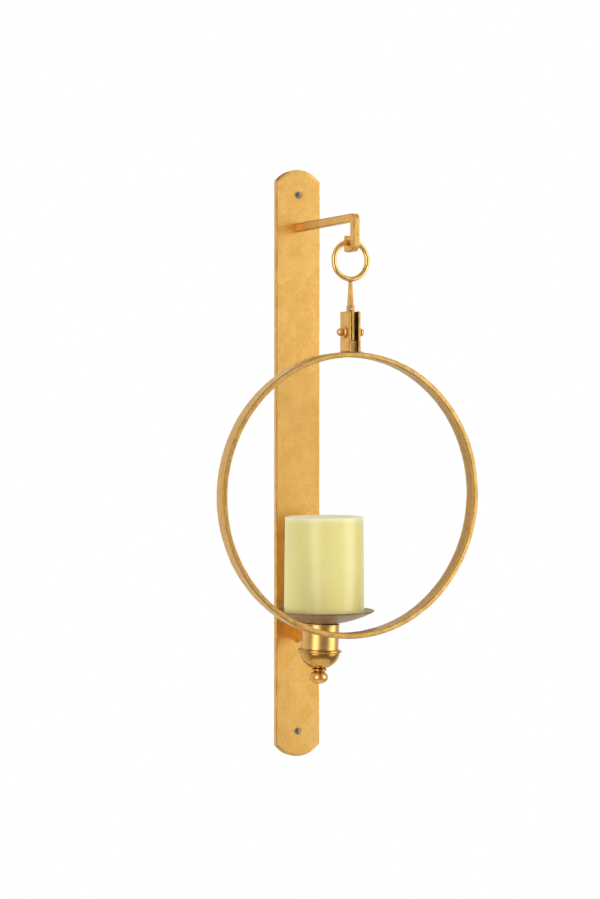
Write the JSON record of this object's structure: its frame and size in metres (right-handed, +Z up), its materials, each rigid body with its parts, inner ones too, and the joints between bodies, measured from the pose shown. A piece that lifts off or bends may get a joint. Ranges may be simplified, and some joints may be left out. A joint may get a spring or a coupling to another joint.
{
  "type": "wall sconce candle holder",
  "caption": "Gilt wall sconce: flat arch-ended back plate, hooked arm with a hinged strap hoop hung on a ring, and a cup arm with a dished pan, finial and pillar candle.",
  "frame": {"origin": "middle of the back plate's back face, on the wall", "axes": "+X to the right along the wall, +Y into the wall, +Z up"},
  "size_m": [0.285, 0.1385, 0.61],
  "materials": {
    "gold_leaf": "antique gold leaf over iron, satin, finely speckled, browned along the edges",
    "bright_gold": "smooth satin-gloss gold on turned pieces, finely brushed round",
    "pan_bronze": "dull taupe-gold wash over pressed sheet",
    "steel": "zinc-plated fasteners",
    "wax": "smooth yellow-ivory wax with a soft sheen, slightly translucent",
    "cotton": "braided cotton wick"
  },
  "bodies": {
    "root": {"back_plate": "gold_leaf", "top_wall_screw": "steel", "bottom_wall_screw": "steel", "hook_arm": "gold_leaf", "cup_arm": "gold_leaf", "cup_tube": "bright_gold", "cup_bowl": "bright_gold", "candle_pan": "pan_bronze", "finial_collar": "bright_gold", "finial_knob": "bright_gold", "centre_rod": "steel", "pan_washer": "steel", "pan_nut": "steel"},
    "ring": {"hanging_ring": "gold_leaf", "hanger_blade": "gold_leaf", "hinge_tongue": "gold_leaf"},
    "hoop": {"hoop": "gold_leaf", "clevis_cheek_left": "gold_leaf", "clevis_cheek_right": "gold_leaf", "clevis_spacer": "gold_leaf", "hinge_pin": "bright_gold", "pin_collar_left": "bright_gold", "pin_collar_right": "bright_gold", "pin_ball_left": "bright_gold", "pin_ball_right": "bright_gold"},
    "candle": {"candle": "wax", "wick": "cotton"}
  },
  "joints": [
    {"name": "ring_turn", "type": "hinge", "parent": "root", "child": "ring", "pos_m": [0, -0.125, 0.20469], "axis": [0, 1, 0], "range_deg": [-30, 30]},
    {"name": "hoop_swing", "type": "hinge", "parent": "ring", "child": "hoop", "pos_m": [0, -0.125, 0.1333], "axis": [-1, 0, 0], "range_deg": [0, 60]},
    {"name": "candle_lift", "type": "slide", "parent": "root", "child": "candle", "axis": [0, 0, 1], "range_m": [0, 0.12]}
  ]
}
